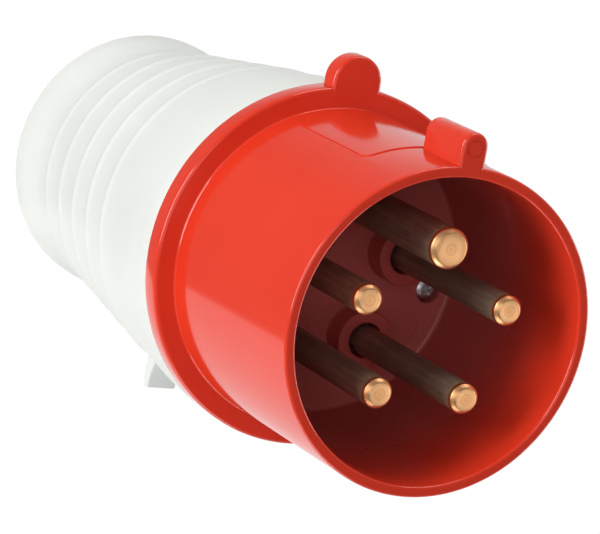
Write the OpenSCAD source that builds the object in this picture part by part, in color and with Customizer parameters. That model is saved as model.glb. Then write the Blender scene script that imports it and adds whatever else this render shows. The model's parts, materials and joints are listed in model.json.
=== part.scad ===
// Five-pole pin and sleeve plug, 32 A size, standing on its tail.
// Frame: origin at the middle of the tail face, +Z along the plug axis and out
// of the mouth, the keyway ridge, ear and earth pin on the -Y side, the latch on +Y.
// All lengths are in millimetres.

/* [Overall] */
// Length from the tail face to the rim of the shroud
overall_len = 145; // [138:1:156]
// Reach of the ear and of the latch tab from the plug axis
reach_r = 43; // [42:0.1:46]

/* [Shroud and flange] */
// Outside diameter of the shroud at its rim
shroud_d = 64; // [63:0.2:65]
// Growth of the shroud's radius from the rim to the flange
shroud_draft = 0.3; // [0.1:0.1:0.6]
// Thickness of the shroud wall at the rim
shroud_wall = 2.2; // [1.8:0.1:2.6]
// Length of the shroud in front of the flange
shroud_len = 49.3; // [46:0.1:54]
// Rounding of the shroud's lip
lip_round = 0.7; // [0.4:0.1:0.9]
// Step from the handle's front edge out to the flange
flange_lip = 0.1; // [0:0.1:1]
// Thickness of the flange
flange_t = 4.7; // [4:0.1:6]
// Rounding of the flange's front corner
flange_round = 1.1; // [0.5:0.1:1.8]
// Thickness of the cavity floor
floor_t = 3.5; // [3:0.1:4.5]

/* [Key, ear and label panel] */
// Width of the keyway ridge
key_w = 5.6; // [4:0.2:7]
// Height of the keyway ridge's top from the plug axis
key_top_r = 38.4; // [37:0.1:40]
// Length of the keyway ridge back from the rim
key_len = 15; // [9:0.5:18]
// Width of the ear
ear_w = 10.8; // [9:0.2:14]
// Angle that the label panel covers
panel_deg = 51; // [40:1:60]
// Relief of the label panel
panel_relief = 0.3; // [0.2:0.05:0.5]
// Width of the plain band between the rim and the label panel
panel_gap = 15.6; // [14:0.2:22]

/* [Pins] */
// Radius of the circle that the pins stand on
pitch_r = 15.8; // [15.2:0.1:16.2]
// Diameter of the earth pin
earth_d = 8; // [7:0.1:8.4]
// Diameter of the line and neutral pins
line_d = 6; // [5:0.1:6.6]
// Depth of the pin tips behind the rim
tip_depth = 1.8; // [1:0.1:4]
// Chamfer on the pin tips
tip_chamfer = 0.8; // [0.4:0.1:1.2]
// Height of the collars that the pins stand in
collar_h = 5.5; // [4:0.1:8]
// Wall of the collars
collar_wall = 2.4; // [1.6:0.1:2.6]
// Gap between a pin and its collar
collar_gap = 0.6; // [0.4:0.05:0.8]

/* [Terminals] */
// Length of the terminal barrel at the back of a pin
barrel_len = 13; // [11:0.5:16]
// Wall of the terminal barrel
barrel_wall = 1.8; // [1.4:0.1:2]
// Diameter of the wire hole in the terminal
wire_d = 5.2; // [4:0.1:5.4]
// Diameter of the terminal screw
terminal_screw_d = 4; // [3:0.1:4.2]

/* [Contact block] */
// Diameter of the block's body
block_d = 47; // [46:0.5:50]
// Length of the block behind the cavity floor
block_len = 29.2; // [27:0.2:32]
// Thickness of the block's front plate
block_plate_t = 3.5; // [2.5:0.1:5]
// Distance of the two fixing screws from the plug axis
fixing_r = 24.6; // [24:0.1:25]
// Angle of each fixing screw from the latch side
fixing_deg = 83.7; // [80:0.5:88]
// Diameter of the fixing screws
fixing_d = 3; // [2.5:0.1:3.2]

/* [Joint of shell and handle] */
// Outside diameter of the spigot that enters the handle
spigot_d = 62; // [61.6:0.1:62.4]
// Wall of the spigot
spigot_wall = 1.7; // [1.4:0.1:1.9]
// Length of the spigot
spigot_len = 15; // [13:0.5:17]
// Height of the three bayonet lugs
lug_h = 1.3; // [1:0.1:1.6]
// Angle that each bayonet lug covers
lug_deg = 12; // [8:1:16]
// Angle turned to lock the bayonet
lock_deg = 25; // [20:1:30]
// Clearance between the spigot and the handle
joint_gap = 0.3; // [0.2:0.05:0.4]
// Height of the joint's seal ring
seal_h = 2; // [1.5:0.1:3]

/* [Handle] */
// Diameter of the handle where it meets the flange
handle_front_d = 73; // [71:0.2:80]
// Fall of the handle's radius from its front edge to the cone
front_drop = 0.55; // [0.3:0.05:1]
// Length of the straight lead between the cone and the flange
front_land = 10; // [6:0.5:14]
// Diameter of the handle at its waist
waist_d = 54.8; // [54:0.2:56]
// Distance of the waist from the tail face
waist_z = 12; // [11:0.5:14]
// Diameter of the flared tail
flare_d = 57.2; // [56.6:0.2:60]
// Rounding of the tail's edge
tail_round = 1.4; // [0.8:0.1:2]
// Number of grip ribs
rib_count = 5; // [3:1:6]
// Distance between grip ribs
rib_pitch = 10.7; // [9:0.1:11.4]
// Distance of the first grip rib from the tail face
rib_z = 18; // [17:0.5:22]
// Height of the grip ribs
rib_h = 0.35; // [0.2:0.05:0.6]
// Thickness of the handle's wall at its narrow end
handle_wall = 3.5; // [3:0.1:4]

/* [Release latch] */
// Width of the latch slide
latch_w = 8; // [7:0.2:9]
// Travel of the latch slide
latch_travel = 3.5; // [2.8:0.1:4]
// Depth that the latch tongue reaches into the flange
latch_bite = 2.2; // [1.6:0.1:2.6]
// Distance of the thumb tab's rear face from the tail face
tab_z = 30.7; // [29:0.1:34]
// Width of the thumb tab
tab_w = 6.8; // [5:0.2:7.6]
// Thickness of the thumb tab at its tip
tab_t = 2.5; // [2:0.1:3.5]
// Outside diameter of the latch spring
spring_d = 4; // [3.4:0.1:4.2]
// Wire diameter of the latch spring
spring_wire = 0.5; // [0.4:0.05:0.6]
// Turns of the latch spring
spring_turns = 7; // [5:1:9]
// Length of the latch spring
spring_len = 14; // [12:0.5:15]

/* [Cable gland] */
// Diameter of the cable hole in the gland nut
nut_hole_d = 24; // [22:0.5:25]
// Diameter of the gland thread
thread_d = 40; // [39:0.2:41]
// Diameter of the gland nut's grip
nut_grip_d = 45; // [44:0.2:46]
// Number of flutes round the gland nut's grip
flute_count = 12; // [8:1:16]
// Depth of the gland nut's rear face inside the tail
nut_recess = 4; // [3.6:0.1:5]
// Travel of the gland nut in one turn
thread_pitch = 2; // [1:0.25:2]
// Diameter of the hole in the cable seal
seal_hole_d = 19; // [18.6:0.2:21]
// Length of the cable seal
seal_len = 14.5; // [12:0.5:15]
// Thickness of the slip ring
slip_t = 2.2; // [1.8:0.1:2.6]

/* [Hidden] */
$fn = 96;
small_fn = 48;

// Colours
red = "#d4231c";
white = "#e8eae4";
dark_grey = "#3a3c40";
brass = "#c79a5b";
steel = "#b9bcc0";
rubber = "#1d1d1f";

// General clearances
fit = 0.08;     // turned parts that slide or turn in each other
play = 0.3;     // moulded parts that move past each other
seat = 0.05;    // parts that stay still in each other
eps = 0.05;     // reach of a cut past a face

// Stations along the axis
rim_z = overall_len;
flange_front_z = rim_z - shroud_len;
flange_back_z = flange_front_z - flange_t;
floor_back_z = flange_front_z - floor_t;
collar_z = flange_front_z + collar_h;
spigot_z = flange_back_z - spigot_len;
ledge_z = spigot_z - seal_h;
block_z = floor_back_z - block_len;

// Radii
shroud_r = shroud_d / 2;
shroud_root_r = shroud_r + shroud_draft;
mouth_r = shroud_r - shroud_wall;
cavity_r = mouth_r - shroud_draft;
handle_front_r = handle_front_d / 2;
flange_r = handle_front_r + flange_lip;
spigot_r = spigot_d / 2;
spigot_in_r = spigot_r - spigot_wall;
socket_r = spigot_r + joint_gap;
block_r = block_d / 2;
ledge_in_r = spigot_in_r + 0.6;

// Pins
pin_deg = 72;
pin_tip_z = rim_z - tip_depth;
shank_step = 0.2;
neck_step = 0.25;
barrel_z = block_z + 1;
screw_z = barrel_z + 4;
wire_depth = barrel_len - 4;
head_h = 2.2;
head_rim = 0.9;
screw_lift = 0.6;
slot_w = 0.8;
slot_depth = 1;

// Fixing screws of the contact block
boss_wall = 2;
boss_len = 11;
pilot_len = 10;
fixing_len = 9;
head_sink = 1.6;
fixing_head_h = 1.3;

// Bayonet
lug_z = flange_back_z - 7;
lug_len = 3;
lug_centres = [30, 150, 270];

// Handle outline
cone_z = waist_z + 2;
cone_start_r = waist_d / 2 + 0.15;
cone_end_z = flange_back_z - front_land;
cone_front_r = handle_front_r - front_drop;
cone_slope = (cone_front_r - cone_start_r) / (cone_end_z - cone_z);
cone_deg = atan(cone_slope);
function cone_r(z) = cone_start_r + cone_slope * (z - cone_z);
rib_section_r = 3;

// Gland
recess_r = nut_grip_d / 2 + 2;
recess_z = 8;
thread_r = thread_d / 2;
chamber_z = 17;
chamber_r = 16.3;
chamber_wall = 2.2;
nose_reach = 2.3;
slip_back_z = chamber_z + nose_reach;
slip_front_z = slip_back_z + slip_t;
seal_seat_z = slip_front_z + seal_len;
throat_r = nut_hole_d / 2 + 0.4;
throat_t = 3;
grip_h = 3.5;
cavity_floor_z = chamber_z + 3;

// Latch, in the frame that lies along the cone: y is measured from its surface
along = 1 / cos(cone_deg);
rail_top = -0.4;
rail_bottom = -2.7;
tongue_top = -1.2;
tongue_w = latch_w - 1.2;
rail_z = tab_z * along - 4;
tongue_len = 20;
tongue_z = (flange_back_z - tongue_len) * along;
nose_z = (flange_back_z + latch_bite) * along;
track_z = rail_z - latch_travel - play;
wing_reach = 1.1;
wing_top = -1.7;
wing_len = 4;
wing_gaps = [9.3, 29.3];
wing_stations = [for (gap = wing_gaps) tab_z + gap];
spring_gap = 11.3;
spring_z = tab_z + spring_gap;
spring_y = rail_bottom - spring_d / 2 - 0.2;
heel_len = 3;
heel_z = spring_z + spring_len;
pocket_floor = spring_y - spring_d / 2 - play;
trough_wall = 1.5;

// A tube from z0 to z1
module tube(r_out, r_in, z0, z1) {
    translate([0, 0, z0]) difference() {
        cylinder(r = r_out, h = z1 - z0);
        translate([0, 0, -eps]) cylinder(r = r_in, h = z1 - z0 + 2 * eps);
    }
}

// A bar from its lowest corner to its highest, centred across X
module bar(w, y0, y1, z0, z1) {
    translate([-w / 2, y0, z0]) cube([w, y1 - y0, z1 - z0]);
}

// Points of a rounded corner: centre, radius, first and last angle
function corner(c, r, a0, a1, n = 6) =
    [for (i = [0:n]) let (a = a0 + (a1 - a0) * i / n) c + r * [cos(a), sin(a)]];

// Puts its children on pin i's axis; pin 0 is the earth pin, on the key side
module at_pin(i) {
    rotate([0, 0, -90 + pin_deg * i]) translate([pitch_r, 0, 0]) children();
}

// Turns its children to the side of the plug that the latch is on, with y from the cone
module on_cone() {
    translate([0, cone_r(0), 0]) rotate([-cone_deg, 0, 0]) children();
}

// Puts its children on the axis of one fixing screw; side is -1 or 1
module at_fixing(side) {
    rotate([0, 0, 90 - side * fixing_deg]) translate([fixing_r, 0, 0]) children();
}

// A tab with a full-round top that stands out along -Y
module round_tab(w, top_r, root_r, z0, z1) {
    translate([0, -top_r + w / 2, z0]) cylinder(d = w, h = z1 - z0);
    bar(w, -top_r + w / 2, -root_r, z0, z1);
}

function pin_r(i) = (i == 0 ? earth_d : line_d) / 2;
function collar_hole_r(i) = pin_r(i) + collar_gap;
function shank_r(i) = pin_r(i) + shank_step;
function barrel_r(i) = max(wire_d / 2 + barrel_wall, shank_r(i) + 1);

// Section of the front shell, from the axis out and back
function shell_section() = concat(
    [[0, floor_back_z], [spigot_in_r, floor_back_z], [spigot_in_r, spigot_z],
     [spigot_r, spigot_z], [spigot_r, flange_back_z],
     [flange_r - 0.4, flange_back_z], [flange_r, flange_back_z + 0.4]],
    corner([flange_r - flange_round, flange_front_z - flange_round], flange_round, 0, 90),
    [[shroud_root_r + 0.5, flange_front_z], [shroud_root_r, flange_front_z + 0.5]],
    corner([shroud_r - lip_round, rim_z - lip_round], lip_round, 0, 90),
    corner([mouth_r + lip_round, rim_z - lip_round], lip_round, 90, 180),
    [[cavity_r, flange_front_z + 0.8], [cavity_r - 0.8, flange_front_z], [0, flange_front_z]]
);

module label_panel() {
    z0 = flange_front_z + 0.6;
    z1 = rim_z - panel_gap;
    rotate([0, 0, -90 - panel_deg / 2]) rotate_extrude(angle = panel_deg) polygon([
        [shroud_r - 1, z0], [shroud_root_r + panel_relief, z0],
        [shroud_r + panel_relief, z1 - panel_relief], [shroud_r, z1], [shroud_r - 1, z1]
    ]);
}

module bayonet_lugs() {
    for (c = lug_centres) rotate([0, 0, c - lug_deg / 2]) rotate_extrude(angle = lug_deg)
        polygon([
            [spigot_r - 0.5, lug_z], [spigot_r + lug_h, lug_z],
            [spigot_r + lug_h, lug_z + lug_len], [spigot_r - 0.5, lug_z + lug_len]
        ]);
}

// Room for the latch tongue in the back of the flange
module latch_notch() {
    on_cone() bar(tongue_w + 2 * play, rail_bottom - play, 2, nose_z - 6, nose_z + play);
}

module front_shell() {
    color(red) difference() {
        union() {
            rotate_extrude() polygon(shell_section());
            round_tab(ear_w, reach_r, flange_r - 3, flange_back_z, flange_front_z);
            round_tab(key_w, key_top_r, shroud_r - 1, rim_z - key_len, rim_z - 0.4);
            round_tab(key_w - 0.8, key_top_r - 0.4, shroud_r - 1, rim_z - 1, rim_z);
            label_panel();
            bayonet_lugs();
            for (i = [0:4]) at_pin(i) translate([0, 0, flange_front_z - 0.5])
                cylinder(r = collar_hole_r(i) + collar_wall, h = collar_h + 0.5);
        }
        for (i = [0:4]) at_pin(i) {
            translate([0, 0, floor_back_z - eps])
                cylinder(r = shank_r(i) + 2 * seat, h = floor_t + 2 * eps);
            translate([0, 0, flange_front_z]) cylinder(r = collar_hole_r(i), h = collar_h + eps);
        }
        for (side = [-1, 1]) at_fixing(side) {
            translate([0, 0, floor_back_z - eps]) cylinder(r = fixing_d / 2 + 0.2, h = floor_t + 1);
            translate([0, 0, flange_front_z - head_sink]) cylinder(r = fixing_d / 2 + 1.2, h = 2);
        }
        latch_notch();
    }
}

module contact_block() {
    color(dark_grey) difference() {
        union() {
            translate([0, 0, block_z]) cylinder(r = block_r, h = block_len);
            translate([0, 0, floor_back_z - block_plate_t])
                cylinder(r = spigot_in_r - 2 * seat, h = block_plate_t);
            for (side = [-1, 1]) at_fixing(side)
                translate([0, 0, floor_back_z - boss_len]) cylinder(r = fixing_d / 2 + boss_wall, h = boss_len);
        }
        for (i = [0:4]) at_pin(i) {
            translate([0, 0, block_z - eps])
                cylinder(r = barrel_r(i) + 2 * seat, h = barrel_z - block_z + barrel_len + eps);
            cylinder(r = shank_r(i) + seat, h = rim_z);
            translate([0, 0, screw_z]) rotate([0, 90, 0])
                cylinder(r = terminal_screw_d / 2 + head_rim + 0.4, h = block_r);
        }
        for (i = [0:4]) rotate([0, 0, -90 + pin_deg * (i + 0.5)])
            translate([block_r + 1, 0, block_z - eps])
                cylinder(r = 5, h = block_len - block_plate_t - 3);
        translate([0, 0, block_z - eps]) cylinder(r = 6, h = block_len - block_plate_t - 4);
        for (side = [-1, 1]) at_fixing(side)
            translate([0, 0, floor_back_z - pilot_len]) cylinder(r = fixing_d / 2 + seat, h = pilot_len + eps);
    }
}

// One contact pin with its terminal barrel, on its own axis
module contact_pin(i) {
    r = pin_r(i);
    barrel_top = barrel_z + barrel_len;
    color(brass) difference() {
        rotate_extrude($fn = small_fn) polygon([
            [0, barrel_z], [barrel_r(i) - 0.4, barrel_z], [barrel_r(i), barrel_z + 0.4],
            [barrel_r(i), barrel_top], [shank_r(i), barrel_top],
            [shank_r(i), flange_front_z], [r - neck_step, flange_front_z + 0.4],
            [r - neck_step, collar_z], [r, collar_z],
            [r, pin_tip_z - tip_chamfer], [r - tip_chamfer, pin_tip_z], [0, pin_tip_z]
        ]);
        translate([0, 0, barrel_z - eps]) cylinder(d = wire_d, h = wire_depth, $fn = small_fn);
        translate([0, 0, screw_z]) rotate([0, 90, 0])
            cylinder(r = terminal_screw_d / 2 + seat, h = barrel_r(i) + 1, $fn = small_fn);
    }
}

// One slotted terminal screw, standing out from pin i's axis
module terminal_screw(i) {
    head_x = barrel_r(i) + screw_lift;
    color(steel) at_pin(i) translate([0, 0, screw_z]) rotate([0, 90, 0]) difference() {
        union() {
            translate([0, 0, 0.9]) cylinder(d = terminal_screw_d, h = head_x, $fn = small_fn);
            translate([0, 0, head_x])
                cylinder(r = terminal_screw_d / 2 + head_rim, h = head_h, $fn = small_fn);
        }
        translate([-slot_w / 2, -terminal_screw_d, head_x + head_h - slot_depth])
            cube([slot_w, 2 * terminal_screw_d, 2 * slot_depth]);
    }
}

// One countersunk block screw, driven from the cavity
module block_screw(side) {
    head_z = flange_front_z - head_sink;
    foot_z = floor_back_z - fixing_len;
    color(steel) at_fixing(side) difference() {
        union() {
            translate([0, 0, foot_z]) cylinder(d = fixing_d, h = head_z - foot_z + 0.2, $fn = small_fn);
            translate([0, 0, head_z]) cylinder(r = fixing_d / 2 + 1, h = fixing_head_h, $fn = small_fn);
        }
        for (a = [0, 90]) rotate([0, 0, a + 30])
            translate([-fixing_d / 2, -0.25, head_z + fixing_head_h / 2]) cube([fixing_d, 0.5, fixing_head_h]);
    }
}

module joint_seal() {
    color(rubber) tube(socket_r - 2 * seat, ledge_in_r + seat, ledge_z, spigot_z);
}

// Outline of the handle from the tail to the flange
function handle_outline() = concat(
    corner([flare_d / 2 - tail_round, tail_round], tail_round, -90, 0),
    [for (i = [0:10]) let (t = i / 10, z = tail_round + 2 + (waist_z - tail_round - 2) * t)
        [waist_d / 2 + (flare_d - waist_d) / 2 * (1 + cos(180 * t)) / 2, z]],
    [[cone_start_r, cone_z], [cone_front_r, cone_end_z],
     [handle_front_r - 0.1, flange_back_z - front_land * 0.4],
     [handle_front_r, flange_back_z - 0.5], [handle_front_r - 0.5, flange_back_z]]
);

module grip_ribs() {
    for (i = [0:rib_count - 1]) let (z = rib_z + rib_pitch * i) rotate_extrude()
        translate([cone_r(z) + rib_h - rib_section_r, z]) circle(r = rib_section_r, $fn = 32);
}

// Entry slots and locking grooves for the bayonet lugs
module bayonet_track() {
    gap_deg = 1;
    for (c = lug_centres) {
        start = c - lug_deg / 2 - gap_deg - lock_deg;
        rotate([0, 0, start]) rotate_extrude(angle = lug_deg + lock_deg + 2 * gap_deg)
            translate([socket_r - 0.5, lug_z - play])
                square([lug_h + 0.5, lug_len + 2 * play]);
        rotate([0, 0, start]) rotate_extrude(angle = lug_deg + 2 * gap_deg)
            translate([socket_r - 0.5, lug_z - play])
                square([lug_h + 0.5, flange_back_z - lug_z + play + eps]);
    }
}

// Walls behind the latch's track, joined to the handle from inside
module latch_trough() {
    on_cone() {
        bar(latch_w + 6, rail_bottom - play - trough_wall, -1.2, track_z - trough_wall, tongue_z);
        bar(spring_d + 2 * play + 2 * trough_wall, pocket_floor - trough_wall, -1.2,
            spring_z - trough_wall, heel_z + heel_len + play + trough_wall);
    }
}

// The track itself: slot, pockets for the wings and room for the spring
module latch_track() {
    on_cone() {
        bar(latch_w + 2 * play, rail_bottom - play / 2, 3, track_z, nose_z);
        for (z = wing_stations)
            bar(latch_w + 2 * wing_reach + 2 * play, rail_bottom - play / 2, wing_top + play / 2,
                z - latch_travel - play, z + wing_len + play);
        bar(spring_d + 2 * play, pocket_floor, rail_bottom, spring_z, heel_z + heel_len + play);
    }
}

module handle() {
    wire_room_r = ledge_in_r;
    color(white) difference() {
        union() {
            difference() {
                union() {
                    rotate_extrude() polygon(concat([[0, 0]], handle_outline(), [[0, flange_back_z]]));
                    grip_ribs();
                }
                // Wire room, round the seal chamber
                rotate_extrude() polygon([
                    [0, cavity_floor_z], [cone_r(cavity_floor_z) - handle_wall, cavity_floor_z],
                    [wire_room_r, ledge_z], [wire_room_r, flange_back_z], [0, flange_back_z]
                ]);
            }
            latch_trough();
            translate([0, 0, chamber_z]) cylinder(r = chamber_r + chamber_wall, h = seal_seat_z + throat_t - chamber_z);
        }
        translate([0, 0, -eps]) cylinder(r = recess_r, h = recess_z + eps);
        translate([0, 0, 1]) cylinder(r = thread_r + fit, h = chamber_z - 1);
        translate([0, 0, 1]) cylinder(r = chamber_r, h = seal_seat_z - 1);
        translate([0, 0, 1]) cylinder(r = throat_r, h = seal_seat_z + throat_t);
        translate([0, 0, ledge_z]) cylinder(r = socket_r, h = flange_back_z - ledge_z + eps);
        bayonet_track();
        latch_track();
    }
}

// Outline of the thumb tab in the plane of the key: y out, z along the plug
function tab_outline() =
    let (root = cone_r(tab_z) + rail_top - 0.6, tip = reach_r, edge = 0.5, steps = 8)
    concat(
        [[root, tab_z], [tip - edge, tab_z], [tip, tab_z + edge], [tip, tab_z + tab_t - edge]],
        [for (i = [0:steps]) let (d = edge + (tip - root - 2 * edge) * i / steps)
            [tip - d, tab_z + tab_t + 0.0388 * d * d]]
    );

module release_latch() {
    color(white) {
        on_cone() {
            bar(latch_w, rail_bottom, rail_top, rail_z, tongue_z);
            bar(tongue_w, rail_bottom, tongue_top, tongue_z - 1, nose_z);
            for (z = wing_stations)
                bar(latch_w + 2 * wing_reach, rail_bottom, wing_top, z, z + wing_len);
            bar(spring_d - 0.4, spring_y - spring_d / 2 + play, rail_bottom + 0.5, heel_z, heel_z + heel_len);
        }
        rotate([90, 0, 90]) linear_extrude(tab_w, center = true) polygon(tab_outline());
    }
}

// Wire swept round a helix: rings of points joined by quads, with flat ends
module coil(mean_r, wire_r, turns, length, ring = 8, per_turn = 20) {
    n = turns * per_turn;
    points = [for (i = [0:n]) let (a = 360 * i / per_turn, z = wire_r + (length - 2 * wire_r) * i / n)
        for (j = [0:ring - 1]) let (b = 360 * (j + 0.5) / ring)
            [(mean_r + wire_r * cos(b)) * cos(a), (mean_r + wire_r * cos(b)) * sin(a), z + wire_r * sin(b)]];
    sides = [for (i = [0:n - 1]) for (j = [0:ring - 1]) let (k = (j + 1) % ring)
        [i * ring + j, i * ring + k, (i + 1) * ring + k, (i + 1) * ring + j]];
    polyhedron(points, concat([[for (j = [ring - 1:-1:0]) j]], sides, [[for (j = [0:ring - 1]) n * ring + j]]));
}

module latch_spring() {
    color(steel) on_cone() translate([0, spring_y, spring_z])
        coil((spring_d - spring_wire) / 2, spring_wire / 2, spring_turns, spring_len);
}

module cable_seal() {
    color(rubber) difference() {
        translate([0, 0, slip_front_z]) cylinder(r = chamber_r - 2 * seat, h = seal_len);
        translate([0, 0, slip_front_z - eps]) cylinder(d = seal_hole_d, h = seal_len + 2 * eps);
    }
}

module slip_ring() {
    color(white) tube(chamber_r - play, seal_hole_d / 2 + 1, slip_back_z, slip_front_z);
}

// Nut that screws into the tail and presses the seal through the slip ring
module gland_nut() {
    grip_z = nut_recess;
    thread_z = grip_z + grip_h;
    thread_end_z = chamber_z - 0.5;
    color(white) difference() {
        union() {
            translate([0, 0, grip_z]) cylinder(d = nut_grip_d, h = grip_h);
            translate([0, 0, thread_z - eps]) cylinder(r = thread_r, h = thread_end_z - thread_z + eps);
            translate([0, 0, thread_end_z - eps])
                cylinder(r = chamber_r - play, h = slip_back_z - thread_end_z + eps);
        }
        translate([0, 0, grip_z - eps]) cylinder(d = nut_hole_d, h = overall_len);
        translate([0, 0, grip_z - eps]) cylinder(r1 = nut_hole_d / 2 + 1.5, r2 = nut_hole_d / 2, h = 1.5);
        for (i = [0:flute_count - 1]) rotate([0, 0, 360 * i / flute_count])
            translate([nut_grip_d / 2 + 1.4, 0, grip_z - eps]) cylinder(r = 3, h = grip_h - 0.5, $fn = 32);
    }
}

front_shell();
contact_block();
at_pin(0) contact_pin(0);  // earth_pin
at_pin(1) contact_pin(1);  // line_pin_1
at_pin(2) contact_pin(2);  // line_pin_2
at_pin(3) contact_pin(3);  // line_pin_3
at_pin(4) contact_pin(4);  // neutral_pin
terminal_screw(0);  // earth_terminal_screw
terminal_screw(1);  // line_terminal_screw_1
terminal_screw(2);  // line_terminal_screw_2
terminal_screw(3);  // line_terminal_screw_3
terminal_screw(4);  // neutral_terminal_screw
block_screw(-1);  // block_screw_left
block_screw(1);  // block_screw_right
joint_seal();
handle();
release_latch();
latch_spring();
cable_seal();
slip_ring();
gland_nut();
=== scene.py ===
"""Look of a five-pole pin and sleeve plug that stands on its tail.

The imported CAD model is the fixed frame. Each sub-assembly is a class that holds its sizes in
millimetres, models its meshes in the frame of the CAD model and dresses them. The plug axis is
the Z axis, the keyway ridge and the ear point to -Y and the release latch to +Y.
"""

import sys

import json
import logging
import math
from dataclasses import dataclass
from enum import Enum
from typing import Any, Callable, Iterable, Optional, Sequence, Union

import bmesh
import bpy
from mathutils import Matrix, Vector

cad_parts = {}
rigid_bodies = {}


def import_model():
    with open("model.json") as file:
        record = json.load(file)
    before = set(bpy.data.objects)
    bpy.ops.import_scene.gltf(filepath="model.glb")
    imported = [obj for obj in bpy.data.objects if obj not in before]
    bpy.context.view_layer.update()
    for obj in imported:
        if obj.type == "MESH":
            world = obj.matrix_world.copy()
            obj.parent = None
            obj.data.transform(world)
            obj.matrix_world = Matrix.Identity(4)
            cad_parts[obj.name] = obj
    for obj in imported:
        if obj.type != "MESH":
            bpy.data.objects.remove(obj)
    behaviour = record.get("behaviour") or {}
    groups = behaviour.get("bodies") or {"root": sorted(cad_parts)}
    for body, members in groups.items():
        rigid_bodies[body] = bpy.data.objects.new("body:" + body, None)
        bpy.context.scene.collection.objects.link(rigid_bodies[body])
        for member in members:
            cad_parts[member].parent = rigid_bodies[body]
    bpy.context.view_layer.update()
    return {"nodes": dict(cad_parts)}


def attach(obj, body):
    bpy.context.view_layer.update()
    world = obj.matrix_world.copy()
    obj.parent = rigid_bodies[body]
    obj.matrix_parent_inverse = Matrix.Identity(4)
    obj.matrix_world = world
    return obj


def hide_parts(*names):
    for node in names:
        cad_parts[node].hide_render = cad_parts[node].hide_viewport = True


LOG = logging.getLogger("plug")
MM = 0.001  # Metres in a millimetre.
MERGE = 1e-4  # Vertices nearer than this, in millimetres, become one.
FINE, MEDIUM, SMALL = 288, 96, 48  # Steps of a full turn.
WHITE = (1.0, 1.0, 1.0, 1.0)


# --- Shader maths ---

Term = Union["Value", float, int]
Colour = tuple[float, float, float]


class Value:
    """An output socket that can be used in Python expressions."""

    def __init__(self, nodes: "Nodes", socket: bpy.types.NodeSocket) -> None:
        """Wraps an output socket of a tree."""
        self.nodes = nodes
        self.socket = socket

    def _math(self, operation: str, *terms: Term) -> "Value":
        """Adds one Math node and returns its output."""
        return self.nodes.node("ShaderNodeMath", {"operation": operation}, *terms)

    def __add__(self, other: Term) -> "Value":
        """Returns self + other."""
        return self._math("ADD", self, other)

    __radd__ = __add__

    def __sub__(self, other: Term) -> "Value":
        """Returns self - other."""
        return self._math("SUBTRACT", self, other)

    def __rsub__(self, other: Term) -> "Value":
        """Returns other - self."""
        return self._math("SUBTRACT", other, self)

    def __mul__(self, other: Term) -> "Value":
        """Returns self * other."""
        return self._math("MULTIPLY", self, other)

    __rmul__ = __mul__

    def atan2(self, other: Term) -> "Value":
        """Returns the angle of the point (other, self)."""
        return self._math("ARCTAN2", self, other)

    def largest(self, other: Term) -> "Value":
        """Returns the larger of self and other."""
        return self._math("MAXIMUM", self, other)

    def step(self, start: float, end: float) -> "Value":
        """Returns a smooth step from 0 at start to 1 at end."""
        return self.nodes.node(
            "ShaderNodeMapRange", {"interpolation_type": "SMOOTHSTEP"}, self, start, end, 0.0, 1.0
        )


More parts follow.
